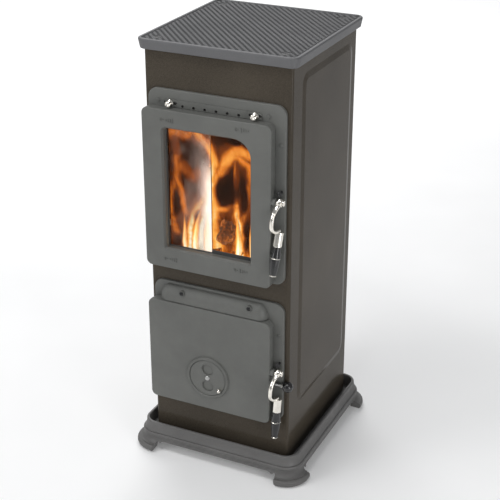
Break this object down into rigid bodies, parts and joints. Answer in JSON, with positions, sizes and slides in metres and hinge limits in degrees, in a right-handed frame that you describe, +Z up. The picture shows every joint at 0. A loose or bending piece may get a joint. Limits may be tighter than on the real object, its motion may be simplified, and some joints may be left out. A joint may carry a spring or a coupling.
{
  "type": "wood burning stove",
  "caption": "Compact upright wood burning stove: enamelled casing on a cast plinth, glazed firebox door over an ash door with a rotary air disc, rear flue spigot.",
  "frame": {"origin": "centre of the footprint, on the floor", "axes": "+Z up, -Y out of the front with the doors, +X to the right as seen from the front"},
  "size_m": [0.3914, 0.4023, 0.88],
  "materials": {
    "enamel": "glossy enamel",
    "door_iron": "satin stove paint",
    "top_iron": "satin stove paint",
    "plinth_iron": "satin stove paint",
    "hearth_iron": "matt, sooted",
    "nickel": "polished",
    "zinc_steel": "satin",
    "dark_steel": "satin black",
    "grip": "gloss",
    "firebrick": "matt",
    "glass": "clear",
    "gasket": "matt",
    "rope": "matt",
    "log_wood": "charred",
    "ember": "glowing",
    "flame": "emissive"
  },
  "bodies": {
    "stove": {"base_casting": "plinth_iron", "casing": "enamel", "rear_panel": "enamel", "rear_screws": "zinc_steel", "top_plate": "top_iron", "top_screws": "dark_steel", "upper_frame": "door_iron", "lower_frame": "door_iron", "frame_screws": "door_iron", "hood_screws": "dark_steel", "shelf_brackets": "zinc_steel", "ash_floor": "zinc_steel", "grate_frame": "hearth_iron", "left_liner": "firebrick", "right_liner": "firebrick", "rear_liner": "firebrick", "log_guard": "hearth_iron", "baffle_plate": "firebrick", "flue_collar": "hearth_iron", "collar_screws": "zinc_steel", "upper_catch": "dark_steel", "lower_catch": "dark_steel", "upper_hinge_pins": "zinc_steel", "lower_hinge_pins": "zinc_steel", "ash_pan": "zinc_steel"},
    "upper_door": {"upper_door": "door_iron", "door_glass": "glass", "glass_gasket": "gasket", "glass_clips": "zinc_steel", "clip_screws": "zinc_steel", "upper_seal": "rope", "upper_latch_pin": "nickel"},
    "lower_door": {"lower_door": "door_iron", "lower_seal": "rope", "disc_rivet": "zinc_steel", "lower_latch_pin": "nickel"},
    "air_disc": {"air_disc": "door_iron", "disc_lug": "nickel"},
    "upper_handle": {"upper_lever": "nickel", "upper_sleeve": "nickel", "upper_grip": "grip", "upper_grip_ring": "nickel", "upper_end_cap": "nickel"},
    "lower_handle": {"lower_lever": "nickel", "lower_sleeve": "nickel", "lower_grip": "grip", "lower_grip_ring": "nickel", "lower_end_cap": "nickel"},
    "air_slide": {"air_slide": "zinc_steel", "slide_knobs": "nickel"},
    "riddler": {"riddle_rod": "zinc_steel", "ball_knob": "grip", "shaker_grate": "hearth_iron"}
  },
  "joints": [
    {"name": "firebox_door_hinge", "type": "hinge", "parent": "stove", "child": "upper_door", "pos_m": [-0.138, -0.169, 0.594], "axis": [0, 0, -1], "range_deg": [0, 95]},
    {"name": "ash_door_hinge", "type": "hinge", "parent": "stove", "child": "lower_door", "pos_m": [-0.138, -0.169, 0.244], "axis": [0, 0, -1], "range_deg": [0, 95]},
    {"name": "firebox_latch", "type": "hinge", "parent": "upper_door", "child": "upper_handle", "pos_m": [0.1346, -0.172, 0.608], "axis": [-1, 0, 0], "range_deg": [0, 60]},
    {"name": "ash_latch", "type": "hinge", "parent": "lower_door", "child": "lower_handle", "pos_m": [0.1346, -0.172, 0.248], "axis": [-1, 0, 0], "range_deg": [0, 60]},
    {"name": "air_disc_spin", "type": "hinge", "parent": "lower_door", "child": "air_disc", "pos_m": [-0.014, -0.183, 0.206], "axis": [0, 1, 0], "range_deg": [0, 90]},
    {"name": "air_slide_travel", "type": "slide", "parent": "stove", "child": "air_slide", "axis": [1, 0, 0], "range_m": [-0.011, 0.011]},
    {"name": "riddle_travel", "type": "slide", "parent": "stove", "child": "riddler", "axis": [1, 0, 0], "range_m": [0, 0.02]}
  ]
}
